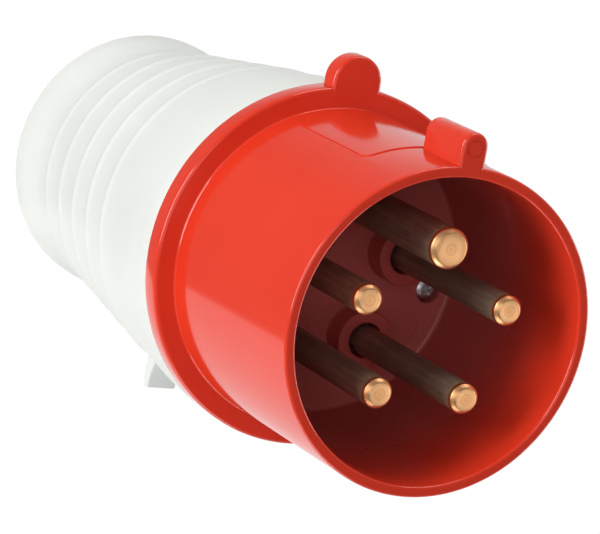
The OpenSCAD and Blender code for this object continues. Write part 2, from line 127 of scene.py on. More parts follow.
class Nodes:
    """A node tree that is written as expressions."""

    def __init__(self, tree: bpy.types.NodeTree) -> None:
        """Wraps the tree of a material or a world."""
        self.tree = tree

    def node(
        self, kind: str, settings: dict[str, Any], *inputs: Any, output: Union[int, str] = 0,
        **named: Any,
    ) -> Value:
        """Adds one node.

        Args:
            kind: The node's type.
            settings: Properties of the node, set before its inputs.
            *inputs: Values or links of its inputs, in order; None leaves an input as it is.
            output: Name or index of the output that is returned.
            **named: Values or links of inputs by name, with underscores for spaces.

        Returns:
            The chosen output.
        """
        made = self.tree.nodes.new(kind)
        for key, value in settings.items():
            setattr(made, key, value)
        pairs = list(zip(made.inputs, inputs))
        pairs += [(made.inputs[key.replace("_", " ")], value) for key, value in named.items()]
        for socket, value in pairs:
            self.feed(socket, value)
        return Value(self, made.outputs[output])

    def feed(self, socket: bpy.types.NodeSocket, value: Any) -> None:
        """Links a socket to a wrapped output or sets its value.

        Args:
            socket: The input socket.
            value: A Value, a number, a colour or None.
        """
        if isinstance(value, Value):
            self.tree.links.new(value.socket, socket)
        elif value is not None:
            socket.default_value = value

    def place(self, centre: Sequence[float] = (0.0, 0.0, 0.0)) -> Value:
        """Returns object coordinates in millimetres, with a point as their origin."""
        start = self.node("ShaderNodeTexCoord", {}, output="Object")
        return self.node(
            "ShaderNodeMapping", {}, start, tuple(-c for c in centre), (0.0, 0.0, 0.0), (1 / MM,) * 3
        )

    def axes(self, place: Value) -> tuple[Value, Value, Value]:
        """Splits a vector into its three parts."""
        outputs = self.node("ShaderNodeSeparateXYZ", {}, place).socket.node.outputs
        return Value(self, outputs[0]), Value(self, outputs[1]), Value(self, outputs[2])

    def radius(self, place: Value) -> Value:
        """Returns the distance of a place from its Z axis."""
        flat = self.node("ShaderNodeVectorMath", {"operation": "MULTIPLY"}, place, (1.0, 1.0, 0.0))
        return self.node("ShaderNodeVectorMath", {"operation": "LENGTH"}, flat, output="Value")

    def noise(self, place: Value, scale: float, detail: float = 3.0, rough: float = 0.55) -> Value:
        """Returns noise from 0 to 1, with scale in spots per millimetre and detail in octaves."""
        return self.node(
            "ShaderNodeTexNoise", {"noise_dimensions": "3D"}, Vector=place, Scale=scale,
            Detail=detail, Roughness=rough,
        )

    def streaks(self, along: Value, scale: float, detail: float = 4.0) -> Value:
        """Returns noise that varies along one value only, such as a radius or a height."""
        return self.node(
            "ShaderNodeTexNoise", {"noise_dimensions": "1D"}, W=along, Scale=scale, Detail=detail
        )

    def blend(self, mask: Term, first: Any, second: Any) -> Value:
        """Mixes two colours by a mask from 0 to 1."""
        made = self.node("ShaderNodeMix", {"data_type": "RGBA"}).socket.node
        for index, value in ((0, mask), (6, first), (7, second)):
            self.feed(made.inputs[index], value)
        return Value(self, made.outputs[2])

    def relief(self, height: Value, depth: float, under: Optional[Value] = None) -> Value:
        """Returns a normal bent by a height from 0 to 1 of a depth in millimetres."""
        return self.node(
            "ShaderNodeBump", {}, Strength=1.0, Distance=depth * MM, Height=height, Normal=under
        )


class Surface(Nodes):
    """A material's tree with a Principled BSDF at its end."""

    def __init__(self, name: str) -> None:
        """Creates the material."""
        self.material = bpy.data.materials.new(name)
        self.material.use_nodes = True
        super().__init__(self.material.node_tree)
        self.shader = self.tree.nodes["Principled BSDF"]
        self.output = self.tree.nodes["Material Output"]

    def set(self, **named: Any) -> None:
        """Feeds inputs of the Principled BSDF by name, with underscores for spaces."""
        for key, value in named.items():
            self.feed(self.shader.inputs[key.replace("_", " ")], value)

    def plastic(
        self, place: Value, base: Colour, shade: Colour, speck: Colour
    ) -> tuple[Value, Value, Value]:
        """Gives what every moulding shows: flow clouds, dust specks and shallow sink marks.

        Args:
            place: The coordinates.
            base: The plastic's colour.
            shade: Its colour in the flow clouds.
            speck: The colour of the dust.

        Returns:
            Its colour, its dust and its normal.
        """
        cloud = self.noise(place, 0.035, 2.0)
        dust = self.noise(place, 0.55, 4.0, 0.7)
        sink = self.noise(place, 0.10, 1.0)
        colour = self.blend(cloud.step(0.35, 0.7), rgba(base), rgba(shade))
        colour = self.blend(dust.step(0.72, 0.80) * 0.25, colour, rgba(speck))
        return colour, dust, self.relief(sink, 0.015)


# --- Finishes ---


def rgba(colour: Colour) -> tuple[float, float, float, float]:
    """Adds a full alpha to a colour."""
    return (*colour, 1.0)


@dataclass(frozen=True)
class Moulded:
    """A moulded plastic with faint flow clouds, dust specks and handling marks."""

    name: str
    base: Colour
    shade: Colour
    roughness: float
    gloss: float
    speck: Colour = (0.42, 0.40, 0.36)
    grain_depth: float = 0.008
    grain: float = 3.0
    spread: float = 0.10

    def material(self) -> bpy.types.Material:
        """Builds the material."""
        surface = Surface(self.name)
        place = surface.place()
        colour, _, sunken = surface.plastic(place, self.base, self.shade, self.speck)
        scuff = surface.noise(place, 0.25, 4.0)
        grain = surface.noise(place, self.grain, 2.0)
        surface.set(
            Base_Color=colour,
            Roughness=scuff * self.spread + (self.roughness - 0.5 * self.spread),
            Specular_IOR_Level=self.gloss,
            Normal=surface.relief(grain, self.grain_depth, sunken),
        )
        return surface.material


@dataclass(frozen=True)
class GlossyShell:
    """Glossy red plastic of the front shell; its cavity is matt and gritty and has painted shade and sheen.
    """

    name: str
    floor_z: float
    mouth_z: float
    inner_r: float
    base: Colour = (0.80, 0.046, 0.018)
    shade: Colour = (0.77, 0.040, 0.015)
    speck: Colour = (0.25, 0.012, 0.010)
    # The cavity floor's red with painted shade and a painted whitish sheen.
    maroon: Colour = (0.66, 0.150, 0.135)
    # Painted shade that darkens the cavity walls towards the floor.
    deep: Colour = (0.46, 0.105, 0.098)
    roughness: float = 0.13
    wall_fade: float = 0.6
    # Depths under the mouth where the painted shade is full and where it starts.
    deep_at: float = 38.0
    pale_at: float = 6.0
    # Heights over the cavity floor where the floor's painted shade and sheen fade out.
    ground_h: tuple[float, float] = (0.4, 1.4)

    def material(self) -> bpy.types.Material:
        """Builds the material."""
        surface = Surface(self.name)
        place = surface.place()
        height = surface.axes(place)[2]
        low, high = self.ground_h
        inside = 1.0 - surface.radius(place).step(self.inner_r, self.inner_r + self.wall_fade)
        # Mask of painted shade that grows towards the cavity floor; it also makes the cavity matt.
        depth = inside * (1.0 - height.step(self.mouth_z - self.deep_at, self.mouth_z - self.pale_at))
        # Mask of the painted shade and sheen on the cavity floor.
        ground = inside * (1.0 - height.step(self.floor_z + low, self.floor_z + high))
        grit = surface.noise(place, 3.2, 3.0, 0.7)
        colour, dust, sunken = surface.plastic(place, self.base, self.shade, self.speck)
        # Painted shade darkens the cavity walls towards the floor.
        colour = surface.blend(depth * 0.8, colour, rgba(self.deep))
        # Painted shade and a painted sheen cover the cavity floor.
        colour = surface.blend(ground, colour, surface.blend(grit, rgba(self.maroon), rgba(self.deep)))
        surface.set(
            Base_Color=colour,
            Roughness=dust * 0.04 + depth * 0.25 + (self.roughness - 0.02),
            Specular_IOR_Level=0.5,
            Normal=surface.relief(grit * inside, 0.02, sunken),
        )
        return surface.material


@dataclass(frozen=True)
class TurnedBrass:
    """Turned brass of a contact pin, bright on its tip and darker brown along its shaft."""

    name: str
    centre: tuple[float, float, float]
    tip_z: float
    bright: Colour = (0.90, 0.50, 0.24)
    orange: Colour = (0.74, 0.34, 0.14)
    brown: Colour = (0.34, 0.245, 0.17)
    dark: Colour = (0.235, 0.17, 0.13)
    clean_from: float = 2.6
    clean_to: float = 0.9
    drawn_out: float = 0.05

    def material(self) -> bpy.types.Material:
        """Builds the material."""
        surface = Surface(self.name)
        place = surface.place(self.centre)
        height = surface.axes(place)[2]
        radius = surface.radius(place)
        marks = surface.streaks(radius * 2.0 + height, 4.0, 5.0)
        rings = surface.streaks(radius, 1.6, 2.0)
        stain = surface.noise(place, 0.22, 4.0, 0.6)
        # Bright brass over the tip and its last few millimetres, darker brown below.
        tip = height.step(self.tip_z - self.clean_from, self.tip_z - self.clean_to)
        face = surface.blend(rings.step(0.42, 0.62) * 0.7, rgba(self.bright), rgba(self.orange))
        drawn = surface.node(
            "ShaderNodeVectorMath", {"operation": "MULTIPLY"}, place, (1.0, 1.0, self.drawn_out)
        )
        lines = surface.noise(drawn, 1.5, 3.0)
        shaft = surface.blend((stain + lines * 2.0).step(1.2, 1.8), rgba(self.brown), rgba(self.dark))
        surface.set(
            Base_Color=surface.blend(tip, shaft, face),
            Metallic=tip * 0.6 + 0.4,
            Roughness=stain * 0.12 + (0.36 - tip * 0.08),
            Normal=surface.relief(marks, 0.02),
        )
        return surface.material


@dataclass(frozen=True)
class PlatedSteel:
    """Zinc plated steel of screws and springs."""

    name: str
    base: Colour = (0.62, 0.63, 0.66)
    cast: Colour = (0.42, 0.41, 0.38)
    roughness: float = 0.3

    def material(self) -> bpy.types.Material:
        """Builds the material."""
        surface = Surface(self.name)
        place = surface.place()
        cloud = surface.noise(place, 0.8, 4.0)
        marks = surface.noise(place, 9.0, 3.0)
        surface.set(
            Base_Color=surface.blend(cloud.step(0.45, 0.7) * 0.5, rgba(self.base), rgba(self.cast)),
            Metallic=1.0,
            Roughness=cloud * 0.2 + (self.roughness - 0.1),
            Normal=surface.relief(marks, 0.008),
        )
        return surface.material


@dataclass(frozen=True)
class SoftRubber:
    """Matt rubber of the seals, with a bloom of dust."""

    name: str
    base: Colour = (0.022, 0.022, 0.024)
    bloom: Colour = (0.085, 0.082, 0.078)

    def material(self) -> bpy.types.Material:
        """Builds the material."""
        surface = Surface(self.name)
        place = surface.place()
        dust = surface.noise(place, 0.6, 5.0, 0.7)
        grain = surface.noise(place, 4.0, 3.0)
        surface.set(
            Base_Color=surface.blend(dust.step(0.5, 0.8) * 0.6, rgba(self.base), rgba(self.bloom)),
            Roughness=dust * 0.2 + 0.58,
            Specular_IOR_Level=0.4,
            Normal=surface.relief(grain, 0.02),
        )
        return surface.material


class Finish(Enum):
    """The finishes of the plug, by the record's material slots."""

    SHELL = "shell_red"
    HANDLE = "handle_white"
    LATCH = "latch_white"
    NUT = "nut_white"
    BLOCK = "block_grey"
    PIN = "pin_brass"
    SCREW = "screw_steel"
    SPRING = "spring_steel"
    SEAL = "seal_rubber"


RECIPES: dict[Finish, Union[Moulded, PlatedSteel, SoftRubber]] = {
    Finish.HANDLE: Moulded("satin_white_handle", (0.84, 0.86, 0.83), (0.82, 0.84, 0.80), 0.48, 0.30),
    Finish.LATCH: Moulded("satin_white_latch", (0.83, 0.85, 0.83), (0.81, 0.83, 0.80), 0.44, 0.35),
    Finish.NUT: Moulded("satin_white_nut", (0.76, 0.78, 0.75), (0.72, 0.74, 0.71), 0.38, 0.45),
    Finish.BLOCK: Moulded(
        "dark_grey_block", (0.045, 0.048, 0.053), (0.038, 0.040, 0.045), 0.42, 0.4, (0.10, 0.10, 0.10), 0.01
    ),
    Finish.SCREW: PlatedSteel("plated_screws"),
    Finish.SPRING: PlatedSteel("spring_wire", (0.50, 0.50, 0.52), (0.35, 0.34, 0.33), 0.26),
    Finish.SEAL: SoftRubber("seal_rubber"),
}


class Wardrobe:
    """Makes each finish once and hands it out."""

    def __init__(self) -> None:
        """Starts with no material made."""
        self.made: dict[Finish, bpy.types.Material] = {}

    def get(self, finish: Finish) -> bpy.types.Material:
        """Returns a finish's material."""
        if finish not in self.made:
            self.made[finish] = RECIPES[finish].material()
        return self.made[finish]


WARDROBE = Wardrobe()


# --- Forms ---

Corner = Union[tuple[float, float], tuple[float, float, float]]


def show(name: str, data: bpy.types.ID) -> bpy.types.Object:
    """Puts a mesh, lamp or camera in an object of the scene."""
    made = bpy.data.objects.new(name, data)
    bpy.context.scene.collection.objects.link(made)
    return made


def tongue(half: float, root: float, top: float) -> list[Corner]:
    """Outlines a tongue with a round end that points to -Y."""
    return [(-half, -root), (-half, -top, half), (half, -top, half), (half, -root)]


class Form:
    """A closed form in millimetres, shaped with mesh operators."""

    STEPS_PER_MM = 8
    FEWEST, MOST = 3, 16

    def __init__(self) -> None:
        """Starts empty."""
        self.bm = bmesh.new()

    def path(
        self, corners: Sequence[Corner], place: Callable[[float, float], Sequence[float]], closed: bool
    ) -> None:
        """Draws a line of edges and rounds its corners.

        Args:
            corners: Two coordinates for each corner, and the radius of its rounding.
            place: Gives the point of two coordinates.
            closed: Whether the line returns to its start.
        """
        verts = [self.bm.verts.new(place(c[0], c[1])) for c in corners]
        count = len(verts)
        for i in range(count if closed else count - 1):
            self.bm.edges.new((verts[i], verts[(i + 1) % count]))
        spots = [v.co.copy() for v in verts]
        for i, corner in enumerate(corners):
            if len(corner) > 2 and corner[2] > 0:
                before = spots[i - 1] - spots[i]
                after = spots[(i + 1) % count] - spots[i]
                reach = corner[2] / math.tan(before.angle(after) / 2)
                steps = max(self.FEWEST, min(self.MOST, round(corner[2] * self.STEPS_PER_MM)))
                bmesh.ops.bevel(
                    self.bm, geom=[verts[i]], offset=reach, offset_type="OFFSET", profile=0.5,
                    segments=steps, affect="VERTICES", material=-1,
                )
        bmesh.ops.remove_doubles(self.bm, verts=self.bm.verts[:], dist=MERGE)

    @classmethod
    def turned(cls, section: Sequence[Corner], steps: int = FINE) -> "Form":
        """Spins a section about the Z axis.

        Args:
            section: Corners of (radius, height, rounding). It starts on the axis or is closed.
            steps: Steps of a full turn.

        Returns:
            The closed form.
        """
        form = cls()
        form.path(section, lambda r, z: (r, 0.0, z), closed=section[0][0] > 0)
        bmesh.ops.spin(
            form.bm, geom=form.bm.verts[:] + form.bm.edges[:], cent=(0, 0, 0), axis=(0, 0, 1),
            angle=math.tau, steps=steps, use_merge=True,
        )
        return form.clean()

    @classmethod
    def tube(cls, inner: float, outer: float, start: float, end: float) -> "Form":
        """Makes a small plain tube, or a rod where its inner radius is 0."""
        return cls.turned([(inner, start), (outer, start), (outer, end), (inner, end)], SMALL)

    @classmethod
    def slab(
        cls, outline: Sequence[Corner], start: float, end: float, edge: float = 0.0, rings: int = 5
    ) -> "Form":
        """Raises a flat outline along Z, with rounded edges round both faces.

        Args:
            outline: Corners of (x, y, rounding).
            start: Height of the lower face.
            end: Height of the upper face.
            edge: Radius of the rounded edges.
            rings: Rings of faces in each rounding.

        Returns:
            The closed form.
        """
        form = cls()
        form.path(outline, lambda x, y: (x, y, start), closed=True)
        base = bmesh.ops.contextual_create(form.bm, geom=form.bm.edges[:])["faces"]
        raised = bmesh.ops.extrude_face_region(form.bm, geom=base, use_keep_orig=True)["geom"]
        top = [g for g in raised if isinstance(g, bmesh.types.BMVert)]
        bmesh.ops.translate(form.bm, verts=top, vec=(0, 0, end - start))
        form.clean()
        if edge > 0:
            rims = {e for f in form.bm.faces if abs(f.normal.z) > 0.9 for e in f.edges}
            form.bevel(rims, edge, rings)
        return form.clean()

    @classmethod
    def block(
        cls, size: Sequence[float], centre: Sequence[float], edge: float = 0.0, rings: int = 3
    ) -> "Form":
        """Makes a box.

        Args:
            size: Its three sides.
            centre: Its centre.
            edge: Radius of its rounded edges.
            rings: Rings of faces in each rounding.

        Returns:
            The closed form.
        """
        form = cls()
        matrix = Matrix.Translation(Vector(centre)) @ Matrix.Diagonal((*size, 1.0))
        bmesh.ops.create_cube(form.bm, size=1.0, matrix=matrix)
        if edge > 0:
            form.bevel(form.bm.edges[:], edge, rings)
        return form.clean()

    @classmethod
    def thread(cls, root_r: float, crest_r: float, start: float, pitch: float, turns: float) -> "Form":
        """Sweeps a thread's ridge round a helix.

        Args:
            root_r: Radius that the ridge stands on.
            crest_r: Radius of its crest.
            start: Height of its first turn.
            pitch: Rise in one turn.
            turns: Number of turns.

        Returns:
            The closed form.
        """
        form = cls()
        foot, crest = 0.42 * pitch, 0.12 * pitch
        corners = [(root_r, -foot), (crest_r, -crest), (crest_r, crest), (root_r, foot)]
        form.path(corners, lambda r, z: (r, 0.0, start + z), closed=True)
        steps = round(MEDIUM * turns)
        bmesh.ops.spin(
            form.bm, geom=form.bm.verts[:] + form.bm.edges[:], cent=(0, 0, 0), axis=(0, 0, 1),
            dvec=(0, 0, pitch / MEDIUM), angle=math.tau * turns, steps=steps,
        )
        open_edges = [e for e in form.bm.edges if e.is_boundary]
        bmesh.ops.holes_fill(form.bm, edges=open_edges, sides=4)
        return form.clean()

    def bevel(self, edges: Iterable[bmesh.types.BMEdge], radius: float, rings: int) -> None:
        """Rounds edges to a radius, with so many rings of faces."""
        bmesh.ops.bevel(
            self.bm, geom=list(edges), offset=radius, offset_type="OFFSET", segments=rings,
            profile=0.5, affect="EDGES", material=-1,
        )

    def clean(self) -> "Form":
        """Merges doubles and turns the faces outwards."""
        bmesh.ops.remove_doubles(self.bm, verts=self.bm.verts[:], dist=MERGE)
        bmesh.ops.recalc_face_normals(self.bm, faces=self.bm.faces[:])
        return self

    def move(self, x: float = 0.0, y: float = 0.0, z: float = 0.0) -> "Form":
        """Moves the form."""
        bmesh.ops.translate(self.bm, verts=self.bm.verts[:], vec=(x, y, z))
        return self

    def turn(self, degrees: float, axis: str = "Z") -> "Form":
        """Turns the form about an axis through the origin."""
        matrix = Matrix.Rotation(math.radians(degrees), 3, axis)
        bmesh.ops.rotate(self.bm, verts=self.bm.verts[:], cent=(0, 0, 0), matrix=matrix)
        return self

    def upright(self) -> "Form":
        """Turns a slab so that its outline's x points to Y, its y to Z and its height to X."""
        matrix = Matrix(((0, 0, 1), (1, 0, 0), (0, 1, 0)))
        bmesh.ops.rotate(self.bm, verts=self.bm.verts[:], cent=(0, 0, 0), matrix=matrix)
        return self

    def slice_x(self, start: float, end: float, count: int) -> "Form":
        """Cuts the form's faces at even steps along X, so that it can bend."""
        for i in range(1, count):
            geometry = self.bm.verts[:] + self.bm.edges[:] + self.bm.faces[:]
            spot = (start + (end - start) * i / count, 0, 0)
            bmesh.ops.bisect_plane(self.bm, geom=geometry, plane_co=spot, plane_no=(1, 0, 0))
        return self

    def bend(self, radius: float, start: float, draft: float) -> "Form":
        """Wraps the form round the Z axis; x becomes the arc from -Y and -y the height over a cone.

        Args:
            radius: Radius of the cone at its start.
            start: Height of that start.
            draft: Loss of radius for each unit of height.
        """
        for vert in self.bm.verts:
            angle = vert.co.x / radius
            reach = radius - vert.co.y - draft * (vert.co.z - start)
            vert.co = Vector((reach * math.sin(angle), -reach * math.cos(angle), vert.co.z))
        return self.clean()

    def to_object(self, name: str) -> bpy.types.Object:
        """Puts the form in an object of its own."""
        mesh = bpy.data.meshes.new(name)
        self.bm.to_mesh(mesh)
        return show(name, mesh)

    def _boolean(self, others: Iterable["Form"], operation: str) -> "Form":
        """Joins the form with others or cuts them out of it."""
        for other in others:
            target, tool = self.to_object("target"), other.to_object("tool")
            modifier = target.modifiers.new("boolean", "BOOLEAN")
            modifier.operation, modifier.solver, modifier.object = operation, "EXACT", tool
            graph = bpy.context.evaluated_depsgraph_get()
            result = bpy.data.meshes.new_from_object(target.evaluated_get(graph))
            self.bm.clear()
            self.bm.from_mesh(result)
            spent = [target.data, tool.data, result]
            for used in (target, tool):
                bpy.data.objects.remove(used)
            for mesh in spent:
                bpy.data.meshes.remove(mesh)
        return self

    def join(self, *others: "Form") -> "Form":
        """Joins other forms to this one."""
        return self._boolean(others, "UNION")

    def cut(self, *others: "Form") -> "Form":
        """Cuts other forms out of this one."""
        return self._boolean(others, "DIFFERENCE")

    def add(self, *others: "Form") -> "Form":
        """Adds other forms as shells of their own."""
        for other in others:
            mesh = bpy.data.meshes.new("added")
            other.bm.to_mesh(mesh)
            self.bm.from_mesh(mesh)
            bpy.data.meshes.remove(mesh)
        return self

    def finish(
        self, name: str, body: str, slot: Finish, *replaced: str,
        material: Optional[bpy.types.Material] = None, crease: float = 28.0,
    ) -> None:
        """Makes the piece in metres, dresses it and ties it to its CAD body.

        Args:
            name: The piece's name.
            body: The CAD body that it rides on.
            slot: The record's slot of its finish.
            *replaced: The CAD nodes that it stands for.
            material: A material of its own, where the finish's shared one doesn't do.
            crease: Angle in degrees above which an edge stays sharp.
        """
        bmesh.ops.remove_doubles(self.bm, verts=self.bm.verts[:], dist=2 * MERGE)
        bmesh.ops.scale(self.bm, verts=self.bm.verts[:], vec=(MM, MM, MM))
        for face in self.bm.faces:
            face.smooth = True
        made = self.to_object(name)
        self.bm.free()
        made.data.set_sharp_from_angle(angle=math.radians(crease))
        made.data.materials.append(material or WARDROBE.get(slot))
        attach(made, body)
        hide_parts(*replaced)
        LOG.info("%s: %d faces", name, len(made.data.polygons))


# --- Shared places ---


@dataclass(frozen=True)
class Stations:
    """Places along the plug axis and radii that several sub-assemblies share, in millimetres."""

    rim_z: float = 145.0
    flange_front_z: float = 95.7
    flange_back_z: float = 91.0
    floor_back_z: float = 92.2
    collar_h: float = 5.5
    spigot_z: float = 76.0
    ledge_z: float = 74.0
    block_z: float = 63.0
    flange_r: float = 36.6
    handle_front_r: float = 36.5
    reach_r: float = 43.0
    cone_z: float = 14.0
    cone_r0: float = 27.55
    cone_end_z: float = 81.0
    cone_end_r: float = 35.95
    chamber_z: float = 17.0
    chamber_r: float = 16.3
    slip_z: float = 19.3
    seal_z: float = 21.5
    seal_end_z: float = 36.0
    thread_r: float = 20.0
    tab_z: float = 30.7
    seat_depth: float = 1.6

    @property
    def slope(self) -> float:
        """Rise of the cone's radius along the axis."""
        return (self.cone_end_r - self.cone_r0) / (self.cone_end_z - self.cone_z)

    def cone_r(self, z: float) -> float:
        """Radius of the handle's cone at a height."""
        return self.cone_r0 + self.slope * (z - self.cone_z)

    def along(self, z: float) -> float:
        """Length along the cone's surface up to a height."""
        return z * math.sqrt(1 + self.slope**2)

    def on_cone(self, form: Form) -> Form:
        """Lays a form along the cone on the latch side, with y from its surface."""
        return form.turn(-math.degrees(math.atan(self.slope)), "X").move(0.0, self.cone_r(0.0), 0.0)


AT = Stations()


# --- Front shell ---


@dataclass
class FrontShell:
    """The red front shell: shroud, flange with its ear, cavity floor, collars and keyway ridge."""

    pins: Sequence[tuple[float, float, float]]
    screws: Sequence[tuple[float, float]]
    rim_r: float = 32.0
    root_r: float = 32.3
    mouth_r: float = 29.8
    cavity_r: float = 29.5
    flange_round: float = 0.9
    lip_round: float = 0.65
    spigot_r: float = 31.0
    spigot_in_r: float = 29.3
    ear_w: float = 10.8
    ear_edge: float = 0.9
    key_w: float = 5.6
    key_top_r: float = 38.4
    key_len: float = 15.0
    key_edge: float = 0.85
    collar_wall: float = 2.4
    collar_gap: float = 0.6
    panel_top: float = 129.4
    panel_half: float = 14.4
    panel_relief: float = 0.22
    panel_root: float = 0.8
    panel_round: float = 2.2
    panel_edge: float = 0.08
    panel_slices: int = 48
    bore_r: float = 2.7
    key_mark: tuple[float, float] = (1.45, 1.62)
    floor_mark: tuple[float, float] = (2.6, 2.85)
    mark_depth: float = 0.12
    mark_spots: Sequence[tuple[float, float]] = ((-20.6, 10.4), (20.6, 10.4))
    over: float = 0.2
    notch_w: float = 7.4

    def shell(self) -> Form:
        """Spins the shroud, the floor, the flange and the spigot as one wall."""
        return Form.turned([
            (0.0, AT.floor_back_z),
            (self.spigot_in_r, AT.floor_back_z, 0.8),
            (self.spigot_in_r, AT.spigot_z, 0.4),
            (self.spigot_r, AT.spigot_z, 0.4),
            (self.spigot_r, AT.flange_back_z),
            (AT.flange_r, AT.flange_back_z, 0.4),
            (AT.flange_r, AT.flange_front_z, self.flange_round),
            (self.root_r, AT.flange_front_z, 0.5),
            (self.rim_r, AT.rim_z, self.lip_round),
            (self.mouth_r, AT.rim_z, self.lip_round),
            (self.cavity_r, AT.flange_front_z, 0.9),
            (0.0, AT.flange_front_z),
        ])

    def ear(self) -> Form:
        """Makes the ear, with a round top and rounded edges."""
        outline = tongue(self.ear_w / 2, AT.flange_r - 4.0, AT.reach_r)
        return Form.slab(outline, AT.flange_back_z, AT.flange_front_z, self.ear_edge)

    def key(self) -> Form:
        """Makes the keyway ridge, with the ring that an ejector pin left on its front."""
        half, top = self.key_w / 2, self.key_top_r
        outline = tongue(half, self.rim_r - 1.4, top)
        ridge = Form.slab(outline, AT.rim_z - self.key_len, AT.rim_z, self.key_edge, 6)
        ring = Form.tube(*self.key_mark, -self.mark_depth, 1.0)
        return ridge.cut(ring.move(0.0, half + self.over - top, AT.rim_z))

    def collar(self, radius: float) -> Form:
        """Makes the collar that one pin stands in.

        Args:
            radius: The radius of the pin.
        """
        hole = radius + self.collar_gap
        outside = hole + self.collar_wall
        top = AT.flange_front_z + AT.collar_h
        foot = AT.flange_front_z - 0.5
        return Form.turned([(hole, foot), (outside, foot), (outside, top, 0.35), (hole, top, 0.3)], MEDIUM)

    def panel(self) -> Form:
        """Makes the bare label panel, raised from the shroud with a fine rounded border."""
        low, high, half, curve = AT.flange_front_z + 0.7, self.panel_top, self.panel_half, self.panel_round
        corners: list[Corner] = [(-half, low), (-half, high, curve), (half, high, curve), (half, low)]
        flat = Form.slab(corners, -self.panel_root, self.panel_relief, self.panel_edge, 2)
        flat.turn(90, "X").slice_x(-half, half, self.panel_slices)
        draft = (self.root_r - self.rim_r) / (AT.rim_z - AT.flange_front_z)
        return flat.bend(self.root_r, AT.flange_front_z, draft)

    def counterbore(self) -> Form:
        """Makes the room for the head of one fixing screw."""
        top = AT.flange_front_z
        return Form.tube(0.0, self.bore_r, top - AT.seat_depth, top + self.over)

    def mould_mark(self) -> Form:
        """Makes the shallow ring that an ejector pin left in the cavity floor."""
        top = AT.flange_front_z
        return Form.tube(*self.floor_mark, top - self.mark_depth, top + self.over)

    def notch(self) -> Form:
        """Makes the room for the latch tongue in the back of the flange."""
        return Form.block((self.notch_w, 4.0, 5.0), (0.0, AT.flange_r, AT.flange_back_z))

    def build(self) -> None:
        """Builds the piece and dresses it."""
        form = self.shell().join(self.ear(), self.key(), self.panel())
        form.join(*(self.collar(r).move(x, y) for x, y, r in self.pins))
        form.cut(*(self.counterbore().move(x, y) for x, y in self.screws), self.notch())
        form.cut(*(self.mould_mark().move(x, y) for x, y in self.mark_spots))
        red = GlossyShell("glossy_red_shell", AT.flange_front_z, AT.rim_z, self.mouth_r - 0.2).material()
        form.finish("shell_front", "plug", Finish.SHELL, "front_shell", material=red, crease=20)


# --- Contacts and screws ---


@dataclass
class Contact:
    """One turned contact pin with its terminal barrel."""

    name: str
    radius: float
    angle: float
    pitch_r: float = 15.8
    tip_depth: float = 1.8
    chamfer: float = 0.8
    barrel_len: float = 13.0
    barrel_wall: float = 1.8
    wire_d: float = 5.2
    wire_depth: float = 9.0
    shank_step: float = 0.2
    neck_step: float = 0.25
    shoulder: float = 1.0

    @property
    def spot(self) -> tuple[float, float]:
        """Place of the pin's axis."""
        turn = math.radians(self.angle)
        return self.pitch_r * math.cos(turn), self.pitch_r * math.sin(turn)

    def build(self) -> None:
        """Builds the pin and dresses it."""
        shank, neck = self.radius + self.shank_step, self.radius - self.neck_step
        wire = self.wire_d / 2
        barrel = max(wire + self.barrel_wall, shank + self.shoulder)
        foot = AT.block_z + 1.0
        collar = AT.flange_front_z + AT.collar_h
        tip = AT.rim_z - self.tip_depth
        form = Form.turned([
            (0.0, foot + self.wire_depth), (wire, foot + self.wire_depth), (wire, foot, 0.3),
            (barrel, foot, 0.4), (barrel, foot + self.barrel_len, 0.3), (shank, foot + self.barrel_len),
            (shank, AT.flange_front_z, 0.2), (neck, AT.flange_front_z + 0.3), (neck, collar, 0.1),
            (self.radius, collar + self.neck_step, 0.1), (self.radius, tip - self.chamfer, 0.6),
            (self.radius - self.chamfer, tip, 0.35), (0.0, tip),
        ], MEDIUM)
        x, y = self.spot
        brass = TurnedBrass(f"turned_brass_{self.name}", (x, y, 0.0), tip).material()
        form.move(x, y).finish(f"contact_{self.name}", "plug", Finish.PIN, self.name, material=brass)


@dataclass
class BlockScrew:
    """One pan-head screw that holds the contact block, with a cross recess."""

    node: str
    angle: float
    pitch_r: float = 24.6
    radius: float = 1.5
    core_step: float = 0.3
    point_r: float = 0.5
    point_len: float = 1.6
    head_r: float = 2.5
    head_h: float = 1.3
    length: float = 9.0
    slot: tuple[float, float, float] = (2.9, 0.55, 1.2)
    slot_turns: tuple[float, float] = (30, 120)
    thread_pitch: float = 0.8
    thread_turns: float = 10.0

    @property
    def spot(self) -> tuple[float, float]:
        """Place of the screw's axis, whose angle is counted from +Y."""
        turn = math.radians(self.angle)
        return self.pitch_r * math.sin(turn), self.pitch_r * math.cos(turn)

    def build(self) -> None:
        """Builds the screw and dresses it."""
        seat = AT.flange_front_z - AT.seat_depth
        top, foot = seat + self.head_h, AT.floor_back_z - self.length
        core, head = self.radius - self.core_step, self.head_r
        form = Form.turned([
            (0.0, foot), (self.point_r, foot), (core, foot + self.point_len, 0.3), (core, seat),
            (head, seat, 0.15), (head, top - 0.5, 0.4), (head * 0.55, top - 0.05, 1.2), (0.0, top),
        ], SMALL)
        for turn in self.slot_turns:
            form.cut(Form.block(self.slot, (0.0, 0.0, top + 0.1), 0.08, 2).turn(turn))
        low, high = top - 0.75, top + 0.2
        form.cut(Form.turned([(0.0, low), (0.3, low), (0.65, high), (0.0, high)], SMALL // 2))
        root, start = self.radius - 0.35, foot + 1.8
        form.add(Form.thread(root, self.radius, start, self.thread_pitch, self.thread_turns))
        form.move(*self.spot).finish(f"fixing_{self.node}", "plug", Finish.SCREW, self.node)


# --- Handle and latch ---


